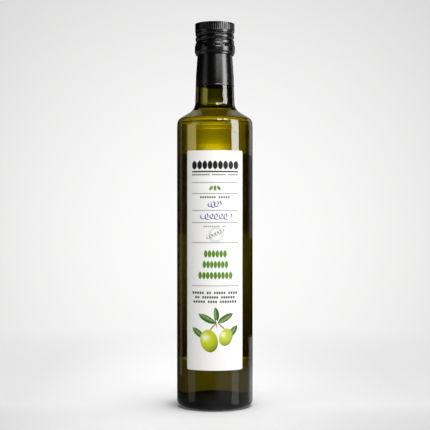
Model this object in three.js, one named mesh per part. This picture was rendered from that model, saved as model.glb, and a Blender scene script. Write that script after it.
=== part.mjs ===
// Olive oil bottle, full and closed: a tall round bottle of dark glass with oil up to the foot of its neck,
// a rolled aluminium screw cap, a thin sleeve on the neck, and a paper label on its front and on its back.
// Millimetres, +Z up. The origin is the centre of the base, on the surface that the bottle stands on.
// The front of the bottle, with the main label, faces -Y.
import * as THREE from "three";

// Driving sizes
const BODY_RADIUS = 30;
const BOTTLE_HEIGHT = 303; // from the floor to the top of the cap
const WALL = 2.85; // glass of the body
const SHOULDER_HEIGHT = 226.6; // where the body's side and the shoulder's slope would meet
const SHOULDER_SLOPE = THREE.MathUtils.degToRad(31.2); // rise of the shoulder above the horizontal
const NECK_RADIUS = 15.75; // at the foot of the neck
const OIL_LEVEL = 236.8;
const CAP_RADIUS = 15.65; // over the knurled band
const CAP_HEIGHT = 24.8;

// Base
const BASE_CORNER = 5.2;
const PUNT_RADIUS = 23; // between it and the base's corner is the flat ring that touches the floor
const PUNT_DEPTH = 6.5;
const FLOOR_HEIGHT = 6.5; // inside, beside the wall
const FLOOR_CROWN = 7; // rise of the inside floor at its middle
const FLOOR_CORNER = 3.5;

// Shoulder and neck
const SHOULDER_ROUND = 5.5;
const NECK_FILLET = 9;
const SHOULDER_WALL = 3;
const NECK_WALL = 3.4;
const NECK_WAIST = [15.2, 251.5]; // radius and height of a point on the neck's taper
const NECK_BEND = [14.95, 260.5];
const NECK_TOP = [13.75, 278]; // where the cap begins
const FINISH_RADIUS = 13.6; // glass under the cap
const MOUTH_HEIGHT = BOTTLE_HEIGHT - 1.8;
const MOUTH_ROUND = 1.2;
const BORE_RADIUS = 9.8; // at the mouth

// Sleeve
const SLEEVE_FOOT = 253.3;
const SLEEVE_TOP = 278.6;
const SLEEVE_WALL = 0.4;
const SLEEVE_GAP = 0.1;
const SLEEVE_STANDS_PROUD = 0.1;

// Labels
const LABEL_GAP = 0.1;
const LABEL_THICKNESS = 0.2;
const LABEL_HALF_ANGLE = THREE.MathUtils.degToRad(45);
const FRONT_LABEL = [31.7, 201.3]; // heights of its lower and upper edge
const BACK_LABEL = [36.2, 201.3];

// Cap
const CAP_TOP_ROUND = 1;
const CAP_TOP_THICKNESS = 1.3;
const CAP_BORE = 14.1;
const SKIRT_RADIUS = 15.4;
const KNURL_FOOT = 297; // foot of the knurled band
const KNURL_DEPTH = 0.3;
const THREAD_ZONE = [287.4, 296.4];
const THREAD_ROWS = 12;
const THREAD_PITCH = 4.1;
const THREAD_FRONT_HEIGHT = 289.7; // a turn of the groove passes the front at this height
const THREAD_SPAN = [288, 295.2]; // heights between which the groove is rolled in
const THREAD_RUN_OUT = 1; // rise over which the groove fades at both ends
const THREAD_DEPTH = 0.85;
const THREAD_HALF_WIDTH = 1.45;
const BAND_RADIUS = 15.8; // tamper band
const BAND_TOP = 286.1;
const SLIT_HEIGHT = 284.8;
const SLIT_DEPTH = 0.45;
const SLITS = 12;
const BRIDGE_SHARE = 1 / 3; // share of each slit's turn that stays a bridge
const BAND_GROOVE = 282.9;
const BAND_GROOVE_DEPTH = 0.3;
const BAND_CURL = 1.3; // rounding of the band's lower edge

// Fineness
const GLASS_SEGMENTS = 48;
const CAP_SEGMENTS = 72; // two to each tooth of the knurl
const ARC_STEP = THREE.MathUtils.degToRad(18); // largest turn between two facets of a rounded corner
const OIL_GAP = 0.3;

const glassMaterial = new THREE.MeshStandardMaterial({
  color: 0x4a4408, roughness: 0.05, metalness: 0, transparent: true, opacity: 0.6,
});
const oilMaterial = new THREE.MeshStandardMaterial({ color: 0xb49a10, roughness: 0.05, metalness: 0 });
const capMaterial = new THREE.MeshStandardMaterial({ color: 0x141312, roughness: 0.3, metalness: 0.6 });
const sleeveMaterial = new THREE.MeshStandardMaterial({ color: 0x161514, roughness: 0.4, metalness: 0 });
const paperMaterial = new THREE.MeshStandardMaterial({ color: 0xf3f2ef, roughness: 0.7, metalness: 0 });

// Turns corners [radius, height, rounding] into an outline, with an arc in place of each rounded corner.
function outline(corners) {
  const points = [];
  corners.forEach(([r, z, rounding], i) => {
    const corner = new THREE.Vector2(r, z);
    if (!rounding) {
      points.push(corner);
      return;
    }
    const before = new THREE.Vector2(...corners[i - 1].slice(0, 2)).sub(corner).normalize();
    const after = new THREE.Vector2(...corners[i + 1].slice(0, 2)).sub(corner).normalize();
    const opening = Math.acos(before.dot(after));
    const turn = Math.PI - opening;
    const middle = before.clone().add(after).normalize();
    const centre = corner.clone().addScaledVector(middle, rounding / Math.sin(opening / 2));
    const start = corner.clone().addScaledVector(before, rounding / Math.tan(opening / 2)).sub(centre);
    const sense = Math.sign(before.x * after.y - before.y * after.x) * -1;
    const steps = Math.max(2, Math.ceil(turn / ARC_STEP));
    for (let k = 0; k <= steps; k++) {
      points.push(start.clone().rotateAround(new THREE.Vector2(), (sense * turn * k) / steps).add(centre));
    }
  });
  return points;
}

// Points on the shallow dome that rises from [edgeRadius, edgeHeight] to the axis, from the axis outwards.
function dome(crown, edgeRadius, edgeHeight, steps) {
  const points = [];
  for (let k = 0; k < steps; k++) {
    const share = k / steps;
    points.push([edgeRadius * share, edgeHeight + crown * (1 - share * share)]);
  }
  return points;
}

// A solid of revolution about +Z from an outline of Vector2(radius, height).
function turned(name, points, segments, material) {
  const mesh = new THREE.Mesh(new THREE.LatheGeometry(points, segments), material);
  mesh.name = name;
  mesh.rotation.x = Math.PI / 2;
  return mesh;
}

// Radius of the neck's outside at a height between the foot of its taper and the cap.
function neckRadius(height) {
  const taper = [[NECK_RADIUS, SHOULDER_HEIGHT + 14.4], NECK_WAIST, NECK_BEND, NECK_TOP];
  const i = taper.findIndex(([, z], k) => k > 0 && height <= z);
  const [[r0, z0], [r1, z1]] = [taper[i - 1], taper[i]];
  return r0 + ((r1 - r0) * (height - z0)) / (z1 - z0);
}

// Height at which the shoulder's slope, moved inwards by depth, has this radius.
function slopeHeight(radius, depth) {
  const rise = Math.tan(SHOULDER_SLOPE);
  return SHOULDER_HEIGHT - depth / Math.cos(SHOULDER_SLOPE) + (BODY_RADIUS - radius) * rise;
}

// The outline of the hollow from the axis, at the inside floor, up to a height, kept clear of the wall by gap.
function hollow(topHeight, gap) {
  const bodyRadius = BODY_RADIUS - WALL - gap;
  const neckFoot = NECK_RADIUS - NECK_WALL - gap;
  const depth = SHOULDER_WALL + gap;
  const rim = bodyRadius - FLOOR_CORNER - 1;
  const slope = (neckFoot - (BORE_RADIUS - gap)) / (MOUTH_HEIGHT - SHOULDER_HEIGHT);
  const boreAt = (z) => neckFoot - slope * (z - SHOULDER_HEIGHT);
  const filletFoot = slopeHeight(neckFoot, depth);
  const whole = outline([
    ...dome(FLOOR_CROWN, rim, FLOOR_HEIGHT + gap, 3),
    [rim, FLOOR_HEIGHT + gap],
    [bodyRadius, FLOOR_HEIGHT + gap, FLOOR_CORNER],
    [bodyRadius, slopeHeight(bodyRadius, depth), SHOULDER_ROUND - WALL / 2],
    [boreAt(filletFoot), filletFoot, NECK_FILLET + NECK_WALL],
    [boreAt(MOUTH_HEIGHT), MOUTH_HEIGHT],
  ]);
  const below = whole.filter((p) => p.y < topHeight);
  const next = whole[below.length];
  const last = below[below.length - 1];
  const share = (topHeight - last.y) / (next.y - last.y);
  return [...below, last.clone().lerp(next, share)];
}

// Glass: a blown bottle with a punt, a rounded base, a sloping shoulder and a long tapered neck.
function bottleGlass() {
  const underSleeve = (z) => neckRadius(z) + SLEEVE_STANDS_PROUD - SLEEVE_WALL - SLEEVE_GAP;
  const ledge = SLEEVE_FOOT - SLEEVE_GAP;
  const outside = outline([
    ...dome(PUNT_DEPTH, PUNT_RADIUS, 0, 4),
    [PUNT_RADIUS, 0],
    [BODY_RADIUS, 0, BASE_CORNER],
    [BODY_RADIUS, SHOULDER_HEIGHT, SHOULDER_ROUND],
    [NECK_RADIUS, slopeHeight(NECK_RADIUS, 0), NECK_FILLET],
    NECK_WAIST,
    [neckRadius(ledge), ledge],
    [underSleeve(ledge), ledge],
    [underSleeve(NECK_BEND[1]), NECK_BEND[1]],
    [underSleeve(NECK_TOP[1]), NECK_TOP[1]],
    [FINISH_RADIUS, NECK_TOP[1] + 3],
    [FINISH_RADIUS, MOUTH_HEIGHT, MOUTH_ROUND],
    [BORE_RADIUS, MOUTH_HEIGHT],
  ]);
  const inside = hollow(MOUTH_HEIGHT, 0).reverse();
  return turned("bottle_glass", [...outside, ...inside.slice(1)], GLASS_SEGMENTS, glassMaterial);
}

// Oil: fills the hollow from the inside floor to its level at the foot of the neck.
function oliveOil() {
  const side = hollow(OIL_LEVEL, OIL_GAP);
  return turned("olive_oil", [...side, new THREE.Vector2(0, OIL_LEVEL)], GLASS_SEGMENTS, oilMaterial);
}

// Sleeve: a thin film tube shrunk on the neck, from below the cap down.
function neckSleeve() {
  const heights = [SLEEVE_FOOT, NECK_BEND[1], NECK_TOP[1]];
  const outer = heights.map((z) => new THREE.Vector2(neckRadius(z) + SLEEVE_STANDS_PROUD, z));
  outer.push(new THREE.Vector2(NECK_TOP[0] + SLEEVE_STANDS_PROUD, SLEEVE_TOP));
  const inner = outer.map((p) => new THREE.Vector2(p.x - SLEEVE_WALL, p.y)).reverse();
  return turned("neck_sleeve", [...outer, ...inner, outer[0]], GLASS_SEGMENTS, sleeveMaterial);
}

// Depth of the rolled thread's groove at an angle from the front, to the right, and a height.
function threadDepth(angle, height) {
  const axial = height - THREAD_FRONT_HEIGHT - (THREAD_PITCH * angle) / (2 * Math.PI);
  const turns = Math.round(axial / THREAD_PITCH);
  const offset = Math.abs(axial - turns * THREAD_PITCH);
  const grooveHeight = height - axial + turns * THREAD_PITCH;
  const fromEnds = Math.min(grooveHeight - THREAD_SPAN[0], THREAD_SPAN[1] - grooveHeight);
  const runOut = THREE.MathUtils.clamp(0.5 + fromEnds / THREAD_RUN_OUT, 0, 1);
  return offset < THREAD_HALF_WIDTH
    ? runOut * THREAD_DEPTH * 0.5 * (1 + Math.cos((Math.PI * offset) / THREAD_HALF_WIDTH))
    : 0;
}

// Depth of the tamper band's slits at an angle: none on the bridges between them.
function slitDepth(angle) {
  const halfStep = SLITS / CAP_SEGMENTS / 2;
  const share = THREE.MathUtils.euclideanModulo((angle * SLITS) / (2 * Math.PI) + halfStep, 1);
  return share < 1 - BRIDGE_SHARE ? SLIT_DEPTH : 0;
}

// Cap: an aluminium shell with a knurled band, a rolled thread and a tamper band with slits under it.
function screwCap() {
  const foot = BOTTLE_HEIGHT - CAP_HEIGHT;
  const threadRows = [];
  for (let k = 0; k <= THREAD_ROWS; k++) {
    threadRows.push([SKIRT_RADIUS, THREE.MathUtils.lerp(THREAD_ZONE[0], THREAD_ZONE[1], k / THREAD_ROWS)]);
  }
  const points = outline([
    [CAP_BORE, foot],
    [BAND_RADIUS, foot, BAND_CURL],
    [BAND_RADIUS, BAND_GROOVE - 0.5],
    [BAND_RADIUS - BAND_GROOVE_DEPTH, BAND_GROOVE],
    [BAND_RADIUS, BAND_GROOVE + 0.5],
    [BAND_RADIUS, SLIT_HEIGHT - 0.4],
    [BAND_RADIUS, SLIT_HEIGHT],
    [BAND_RADIUS, SLIT_HEIGHT + 0.4],
    [BAND_RADIUS, BAND_TOP - 0.3],
    [SKIRT_RADIUS, BAND_TOP + 0.4],
    ...threadRows,
    [CAP_RADIUS, KNURL_FOOT],
    [CAP_RADIUS, BOTTLE_HEIGHT, CAP_TOP_ROUND],
    [0, BOTTLE_HEIGHT],
    [0, BOTTLE_HEIGHT - CAP_TOP_THICKNESS],
    [CAP_BORE, BOTTLE_HEIGHT - CAP_TOP_THICKNESS],
    [CAP_BORE, foot],
  ]);
  const cap = turned("screw_cap", points, CAP_SEGMENTS, capMaterial);
  const place = cap.geometry.getAttribute("position");
  for (let i = 0; i < place.count; i++) {
    const radius = Math.hypot(place.getX(i), place.getZ(i));
    const height = place.getY(i);
    if (radius < SKIRT_RADIUS - 0.01) continue;
    const angle = Math.atan2(place.getX(i), place.getZ(i));
    const tooth = Math.round((angle * CAP_SEGMENTS) / (2 * Math.PI)) % 2 ? KNURL_DEPTH : 0;
    const onKnurl = height > KNURL_FOOT + 0.01 && height < BOTTLE_HEIGHT - CAP_TOP_ROUND / 2;
    const onThread = height > THREAD_ZONE[0] - 0.01 && height < THREAD_ZONE[1] + 0.01;
    const onSlit = Math.abs(height - SLIT_HEIGHT) < 0.01;
    const depth = onKnurl ? tooth : onThread ? threadDepth(angle, height) : onSlit ? slitDepth(angle) : 0;
    const scale = (radius - depth) / radius;
    place.setX(i, place.getX(i) * scale);
    place.setZ(i, place.getZ(i) * scale);
  }
  return cap;
}

// Label: a sheet of paper round the body, centred on an angle from the front.
function paperLabel(name, [low, high], centreAngle) {
  const inner = BODY_RADIUS + LABEL_GAP;
  const outer = inner + LABEL_THICKNESS;
  const [from, to] = [centreAngle - LABEL_HALF_ANGLE, centreAngle + LABEL_HALF_ANGLE];
  const section = new THREE.Shape();
  section.absarc(0, 0, outer, from, to, false);
  section.absarc(0, 0, inner, to, from, true);
  const facets = Math.round((GLASS_SEGMENTS * LABEL_HALF_ANGLE) / Math.PI);
  const sheet = new THREE.ExtrudeGeometry(section, {
    depth: high - low, bevelEnabled: false, curveSegments: facets / 2,
  });
  const mesh = new THREE.Mesh(sheet, paperMaterial);
  mesh.name = name;
  mesh.position.z = low;
  return mesh;
}

const bottle = new THREE.Group();
bottle.add(
  bottleGlass(),
  oliveOil(),
  neckSleeve(),
  screwCap(),
  paperLabel("front_label", FRONT_LABEL, -Math.PI / 2),
  paperLabel("back_label", BACK_LABEL, Math.PI / 2),
);

export default bottle;
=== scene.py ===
# %% [markdown]
# # A bottle of olive oil
# This lesson dresses a full, closed bottle of olive oil. The construction model gives its true size: a glass
# bottle, the oil in it, a screw cap, a sleeve round the neck and two paper labels.
# Here each of them becomes a finely made piece with the finish of the real material.
# Everything is in metres, the front of the bottle faces -Y, and the table is at height 0.

# %% Load the frame
import math
import bmesh
import bpy
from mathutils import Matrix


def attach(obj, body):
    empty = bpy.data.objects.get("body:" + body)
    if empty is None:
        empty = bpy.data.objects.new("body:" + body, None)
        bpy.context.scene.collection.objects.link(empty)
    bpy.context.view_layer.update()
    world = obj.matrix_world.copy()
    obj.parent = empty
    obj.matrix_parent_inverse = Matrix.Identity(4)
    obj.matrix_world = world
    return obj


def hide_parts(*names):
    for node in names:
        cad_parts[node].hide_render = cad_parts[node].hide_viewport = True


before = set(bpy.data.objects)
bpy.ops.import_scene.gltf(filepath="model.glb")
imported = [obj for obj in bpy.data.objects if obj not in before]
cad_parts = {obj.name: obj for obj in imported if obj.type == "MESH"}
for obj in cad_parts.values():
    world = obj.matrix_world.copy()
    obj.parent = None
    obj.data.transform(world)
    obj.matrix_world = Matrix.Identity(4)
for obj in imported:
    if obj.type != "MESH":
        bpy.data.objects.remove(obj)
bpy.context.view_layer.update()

MM = 0.001

# %% [markdown]
# ## The camera
# The photograph was taken at the height of the bottle's middle, with a level camera and a long lens: the
# upright sides stay upright, and the circles of the cap and the base open up as flat ellipses.
# Those ellipses give the distance, and the bottle's size in the frame then gives the focal length.
# The Standard view transform shows each colour as it is set, with no film look laid over it.

# %% Camera
CAMERA_PLACE = (0.13 * MM, -875 * MM, 151.4 * MM)
bpy.ops.object.camera_add(location=CAMERA_PLACE, rotation=(math.radians(90), 0, 0))
camera = bpy.context.object
camera.name = "camera"
camera.data.sensor_width = 36
camera.data.lens = 92.1
bpy.context.scene.camera = camera
bpy.context.scene.view_settings.view_transform = "Standard"
print("camera at", [round(v / MM, 2) for v in camera.location], "mm, lens", round(camera.data.lens, 1), "mm")

# %% [markdown]
# ## Colours and nodes
# A colour picked from a picture is an sRGB value, and Blender's sockets want linear light, so one function
# turns a hex value into linear. A second one adds a node, sets its values and makes its links in one call,
# which keeps the materials short enough to read.


# %% Colour and node helpers
def linear(hex_colour):
    values = [int(hex_colour[i:i + 2], 16) / 255 for i in (1, 3, 5)]
    return [v / 12.92 if v <= 0.04045 else ((v + 0.055) / 1.055) ** 2.4 for v in values] + [1.0]


def add_node(tree, kind, settings=None, inputs=None, links=None):
    node = tree.nodes.new(kind)
    for key, value in (settings or {}).items():
        setattr(node, key, value)
    for key, value in (inputs or {}).items():
        node.inputs[key].default_value = value
    for key, socket in (links or {}).items():
        tree.links.new(socket, node.inputs[key])
    return node


def new_material(name):
    material = bpy.data.materials.new(name)
    material.use_nodes = True
    material.node_tree.nodes.clear()
    return material, material.node_tree


def finish_surface(tree, shader, volume=None):
    links = {"Surface": shader.outputs[0]}
    if volume:
        links["Volume"] = volume.outputs[0]
    add_node(tree, "ShaderNodeOutputMaterial", links=links)


def surface_noise(tree, size, detail=2.0):
    """Noise whose features are about size metres wide, read from the piece's own place."""
    place = add_node(tree, "ShaderNodeTexCoord")
    return add_node(tree, "ShaderNodeTexNoise", inputs={"Scale": 1 / size, "Detail": detail},
                    links={"Vector": place.outputs["Object"]})


def ramp(tree, factor, stops):
    """A colour ramp from (position, hex colour) stops."""
    node = add_node(tree, "ShaderNodeValToRGB", links={"Fac": factor})
    elements = node.color_ramp.elements
    elements[0].position, elements[1].position = stops[0][0], stops[-1][0]
    elements[0].color, elements[1].color = linear(stops[0][1]), linear(stops[-1][1])
    for position, colour in stops[1:-1]:
        elements.new(position).color = linear(colour)
    return node


def spread(tree, factor, low, high):
    """Stretch a 0 to 1 value to the range low to high."""
    return add_node(tree, "ShaderNodeMapRange", inputs={"To Min": low, "To Max": high},
                    links={"Value": factor})


# %% [markdown]
# ## Drawing a profile and spinning it
# A blown bottle, the oil in it and a rolled cap are all round, so each is a profile turned about the axis.
# By hand one adds a plane, merges it to a single vertex, and extrudes that vertex from corner to corner of
# the profile. Corners that are round on the real thing get a vertex bevel, and Spin makes the solid.
# A stack of cylinders would leave seams inside the glass, which bend the light wrongly.


# %% Selecting
def start_fresh():
    """Go back to object mode with nothing selected."""
    if bpy.context.mode != "OBJECT":
        bpy.ops.object.mode_set(mode="OBJECT")
    bpy.ops.object.select_all(action="DESELECT")


def pick_vertices(piece, wanted):
    """Select the vertices for which wanted(place) is true, in edit mode, and nothing else."""
    bpy.ops.mesh.select_mode(type="VERT")
    bpy.ops.mesh.select_all(action="DESELECT")
    mesh = bmesh.from_edit_mesh(piece.data)
    for vertex in mesh.verts:
        vertex.select = bool(wanted(vertex.co))
    mesh.select_flush(True)
    bmesh.update_edit_mesh(piece.data)


# %% Drawing a profile
def draw_profile(name, corners, close=False):
    """Extrude one vertex through the corners (radius, height, rounding) in mm, then round the corners."""
    start_fresh()
    bpy.ops.mesh.primitive_plane_add(size=MM)
    piece = bpy.context.object
    piece.name = name
    bpy.ops.object.mode_set(mode="EDIT")
    bpy.ops.mesh.merge(type="CENTER")
    places = [(corner[0] * MM, corner[1] * MM) for corner in corners]
    bpy.ops.transform.translate(value=(places[0][0], 0, places[0][1]))
    for (r0, z0), (r1, z1) in zip(places, places[1:]):
        bpy.ops.mesh.extrude_vertices_move(TRANSFORM_OT_translate={"value": (r1 - r0, 0, z1 - z0)})
    if close:
        ends = (places[0], places[-1])
        pick_vertices(piece, lambda co: any(math.dist((co.x, co.z), end) < 1e-7 for end in ends))
        bpy.ops.mesh.edge_face_add()
    for i, corner in enumerate(corners):
        if len(corner) < 3:
            continue
        before, here, after = places[i - 1], places[i], places[(i + 1) % len(places)]
        into = math.atan2(here[1] - before[1], here[0] - before[0])
        out = math.atan2(after[1] - here[1], after[0] - here[0])
        turn = abs((out - into + math.pi) % (2 * math.pi) - math.pi)
        pick_vertices(piece, lambda co: math.dist((co.x, co.z), here) < 1e-7)
        bpy.ops.mesh.bevel(affect="VERTICES", offset=corner[2] * MM * math.tan(turn / 2),
                           segments=max(3, math.ceil(math.degrees(turn) / 6)), profile=0.5)
    return piece


# %% [markdown]
# A smooth surface is shaded with normals that are averaged over the faces round each vertex. Beside a small
# bevel that tilts the shading of the long wall too, and clear glass would show the tilt as a band of light.
# The Weighted Normal modifier lets the large faces rule, so the wall stays straight right up to the bevel.


# %% Spinning and shading
ROUND_STEPS = 192


def spin_round(piece, steps=ROUND_STEPS, sharp=35):
    """Spin the drawn profile about the bottle's axis, close it and smooth it."""
    bpy.ops.mesh.select_all(action="SELECT")
    bpy.ops.mesh.spin(steps=steps, angle=2 * math.pi, center=(0, 0, 0), axis=(0, 0, 1))
    bpy.ops.mesh.select_all(action="SELECT")
    bpy.ops.mesh.remove_doubles(threshold=1e-6)
    bpy.ops.mesh.normals_make_consistent(inside=False)
    bpy.ops.object.mode_set(mode="OBJECT")
    bpy.ops.object.shade_smooth_by_angle(angle=math.radians(sharp))
    print(piece.name, "has", len(piece.data.polygons), "faces")


def steady_normals(piece):
    """Let the large faces rule the shading."""
    steady = piece.modifiers.new("steady", "WEIGHTED_NORMAL")
    steady.keep_sharp = True
    bpy.ops.object.modifier_apply(modifier="steady")


# %% [markdown]
# A finished piece gets its one material. It rides on the bottle's only body, and it may stand
# for a plain solid of the construction model, which is then hidden.


# %% Handing a piece over
def hand_over(piece, material, slot, *nodes):
    """Give a piece its material and say which nodes it stands for; slot is not used."""
    piece.data.materials.clear()
    piece.data.materials.append(material)
    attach(piece, "root")
    if nodes:
        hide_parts(*nodes)


# %% [markdown]
# ## The glass
# The bottle is moulded in dark green glass, about 3 mm thick on the body and more in the neck and the base.
# Its base is pushed up inside, which is called the punt, so it stands on a ring. The outline goes from the
# middle of the punt out and up to the mouth, then down the inside to the floor. Both skins are one closed
# surface, because light bends at each of them, and the colour comes from the distance between them.

# %% Measures of the glass, in mm
BODY = 30
WALL = 2.85
SHOULDER_WALL = 3
SHOULDER_FOOT = 226.6
SLOPE = math.tan(math.radians(31.2))
MOUTH = 301.2
NECK_BORE, MOUTH_BORE = 12.35, 9.8
PUNT_RIM, PUNT_DEPTH = 23, 6.5
FLOOR_RIM, FLOOR_HEIGHT, FLOOR_CROWN = 22.65, 6.5, 7
FLOOR_TOP = FLOOR_HEIGHT + FLOOR_CROWN
ARCH_RADII = (4, 8, 12, 16, 19.5)


def arch(radius, rim, crown):
    """Height over its rim of the punt or the floor, both of which are shallow bowls turned over."""
    return crown * (1 - (radius / rim) ** 2)


def shoulder_height(radius, depth=0.0):
    """Height of the shoulder's slope at a radius, for a skin that lies depth mm inside the glass."""
    return SHOULDER_FOOT - depth / math.cos(math.atan(SLOPE)) + (BODY - radius) * SLOPE


def bore_radius(height):
    """Radius inside the neck, which narrows a little towards the mouth."""
    return NECK_BORE - (NECK_BORE - MOUTH_BORE) * (height - SHOULDER_FOOT) / (MOUTH - SHOULDER_FOOT)


# %% Inside of the glass
floor_dome = [(r, FLOOR_HEIGHT + arch(r, FLOOR_RIM, FLOOR_CROWN)) for r in (0.01, *ARCH_RADII)]
inner_foot = shoulder_height(NECK_BORE, SHOULDER_WALL)
inside_skin = floor_dome + [
    (FLOOR_RIM, FLOOR_HEIGHT),
    (BODY - WALL, FLOOR_HEIGHT, 3.5),
    (BODY - WALL, shoulder_height(BODY - WALL, SHOULDER_WALL), 4.1),
    (bore_radius(inner_foot), inner_foot, 12),
]
print("inside:", len(inside_skin), "corners, foot of the neck at", round(inner_foot, 2), "mm")

# %% [markdown]
# Below the shoulder the outside wall doesn't run straight into the round corner. It leans in by a quarter of
# a millimetre over the last few, in short steps that grow. With a straight wall the corner would bend the
# edge of the room into one hard dark line round the bottle, which the real one doesn't have.

# %% Outside of the glass
outside_skin = [(r, arch(r, PUNT_RIM, PUNT_DEPTH)) for r in (0, *ARCH_RADII)] + [
    (PUNT_RIM, 0.0),
    (BODY, 0.0, 5.2),
    (29.9995, 220.0),
    (29.983, 221.1),
    (29.94, 222.1),
    (29.86, 223.2),
    (29.76, 224.25),
    (29.495, 226.906, 5.1),
    (15.75, shoulder_height(15.75), 9),
    (15.2, 251.5),
    (15.12, 253.2),
    (14.72, 253.2),
    (14.55, 260.5),
    (13.35, 278),
    (13.6, 281),
    (13.6, MOUTH, 1.2),
    (MOUTH_BORE, MOUTH),
]
bottle = draw_profile("bottle_glass_skin", outside_skin + inside_skin[::-1] + [(0, FLOOR_TOP)])
spin_round(bottle)
steady_normals(bottle)

# %% [markdown]
# Soda-lime glass has an index of refraction of 1.52. Its dark green is in the body of the glass, not on it,
# so the surface is clear and a Volume Absorption takes the light away with distance: blue almost at once,
# red and green slowly. That is why the thick neck and base look nearly black and the body glows.
# The mould leaves soft waves a few centimetres wide, and a very weak bump gives those.

# %% Glass material
glass_material, tree = new_material("soda_lime_glass_dark_green")
mould_waves = surface_noise(tree, 24 * MM, detail=1.0)
waves = add_node(tree, "ShaderNodeBump", inputs={"Strength": 0.02, "Distance": 0.3 * MM},
                 links={"Height": mould_waves.outputs[0]})
clear_glass = add_node(
    tree, "ShaderNodeBsdfPrincipled",
    inputs={"Base Color": linear("#fdfefb"), "Roughness": 0.0, "IOR": 1.52, "Transmission Weight": 1.0},
    links={"Normal": waves.outputs[0]})
green_body = add_node(tree, "ShaderNodeVolumeAbsorption",
                      inputs={"Color": (0.69, 0.665, 0.0, 1.0), "Density": 850.0})
finish_surface(tree, clear_glass, green_body)
hand_over(bottle, glass_material, "dark_glass", "bottle_glass")

# %% [markdown]
# The glass under the floor is so thick that light which enters it from the oil never comes back. Traced
# exactly, its skin would still mirror the wall at the flat angle from which the camera looks, so the faces of
# the floor get a finish of their own: the near black of deep glass, matt and without a gloss.

# %% Floor of the bottle
deep_glass, tree = new_material("soda_lime_glass_heavy_base")
depth_cloud = surface_noise(tree, 6 * MM)
deep_surface = add_node(
    tree, "ShaderNodeBsdfPrincipled", inputs={"Roughness": 0.9, "Specular IOR Level": 0.0},
    links={"Base Color": ramp(tree, depth_cloud.outputs[0], [(0.3, "#050502"), (0.7, "#0c0b04")]).outputs[0]})
finish_surface(tree, deep_surface)
bottle.data.materials.append(deep_glass)
FLOOR_REACH = 26.9
for face in bottle.data.polygons:
    height, reach = face.center.z / MM, math.hypot(*face.center[:2]) / MM
    on_floor = FLOOR_HEIGHT - 0.5 < height < FLOOR_TOP + 0.5 and reach < FLOOR_REACH
    if on_floor and face.normal.z > 0.3:
        face.material_index = 1
print("floor faces:", sum(face.material_index for face in bottle.data.polygons))

# %% [markdown]
# ## The oil
# The oil fills the bottle up to the foot of the neck. Its mesh is drawn 0.15 mm larger than the inside of
# the glass: if the two only touched, rays would find a film of air or none at random, and the oil would
# sparkle with black dots. The top is flat, with a small upward curve at the rim where oil wets glass.

# %% Oil
OIL_LEVEL = 236.8
INTO_WALL = 0.15
oil_skin = [(r, z - INTO_WALL) for r, z in floor_dome[1:]] + [
    (FLOOR_RIM, FLOOR_HEIGHT - INTO_WALL),
    (BODY - WALL + INTO_WALL, FLOOR_HEIGHT - INTO_WALL, 3.5),
    (BODY - WALL + INTO_WALL, shoulder_height(BODY - WALL, SHOULDER_WALL - INTO_WALL), 4.1),
    (bore_radius(inner_foot) + INTO_WALL, shoulder_height(NECK_BORE, SHOULDER_WALL - INTO_WALL), 12),
    (bore_radius(OIL_LEVEL + 0.5) + INTO_WALL, OIL_LEVEL + 0.5),
    (bore_radius(OIL_LEVEL) - 0.5, OIL_LEVEL + 0.12),
    (bore_radius(OIL_LEVEL) - 1.5, OIL_LEVEL),
    (0, OIL_LEVEL),
]
oil = draw_profile("oil_fill", [(0, FLOOR_TOP - INTO_WALL)] + oil_skin)
spin_round(oil)
steady_normals(oil)

# %% [markdown]
# Olive oil bends light a little less than glass, with an index of 1.47. It is clear, keeps red and most of
# the green, and swallows blue, which is what makes it golden with a green cast.

# %% Oil material
oil_material, tree = new_material("extra_virgin_olive_oil")
clear_oil = add_node(
    tree, "ShaderNodeBsdfPrincipled",
    inputs={"Base Color": linear("#fffef6"), "Roughness": 0.0, "IOR": 1.47, "Transmission Weight": 1.0})
gold_body = add_node(tree, "ShaderNodeVolumeAbsorption",
                     inputs={"Color": (0.975, 0.92, 0.0, 1.0), "Density": 60.0})
finish_surface(tree, clear_oil, gold_body)
hand_over(oil, oil_material, "olive_oil", "olive_oil")

# %% [markdown]
# ## The screw cap
# A roll-on cap starts as a smooth aluminium cup. A machine presses it against the glass thread, which rolls
# the spiral groove into it, and a knurled band at the top gives grip. Below, a line of short slits lets the
# lower ring tear off. The cup is spun with many fine rows, and three vertex groups say how deep each point
# is pressed in. Displace modifiers then press them in, as the rollers do.

# %% Cap cup
CAP_TOP, CAP_BORE = 303, 14.1
KNURLS, KNURL_FOOT, KNURL_RADIUS = 60, 297.0, 15.65
THREAD_ZONE, THREAD_RADIUS = (287.4, 296.4), 15.4
SLIT_HEIGHT = 284.8
thread_rows = [(THREAD_RADIUS, THREAD_ZONE[0] + 0.3 * k) for k in range(31)]
slit_rows = [(15.92, SLIT_HEIGHT + dz) for dz in (-0.45, -0.3, -0.15, 0, 0.15, 0.3, 0.45)]
cap_profile = [
    (0, 301.7),
    (CAP_BORE, 301.7, 0.6),
    (CAP_BORE, 278.6, 0.2),
    (14.6, 278.2, 0.2),
    (15.2, 278.25, 0.3),
    (15.3, 279.4, 0.3),
    (15.93, 280.5, 0.5),
    (15.98, 283.2, 1.0),
    *slit_rows,
    (15.75, 285.8, 0.3),
    (THREAD_RADIUS, 286.6),
    *thread_rows,
    (THREAD_RADIUS, 296.6),
    (KNURL_RADIUS, KNURL_FOOT),
    *[(KNURL_RADIUS, KNURL_FOOT + dz) for dz in (0.2, 0.5, 1.0, 2.0, 3.0, 4.0, 4.6)],
    (KNURL_RADIUS, CAP_TOP, 1.0),
    (14.2, CAP_TOP),
    (0, CAP_TOP),
]
cap = draw_profile("screw_cap_shell", cap_profile)
spin_round(cap, 8 * KNURLS)

# %% [markdown]
# The depth of each pressed shape is a small function of the place: a wave round the axis for the knurl, a
# rounded groove that climbs one pitch a turn for the thread, and short dashes for the slits. They are in mm.


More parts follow.
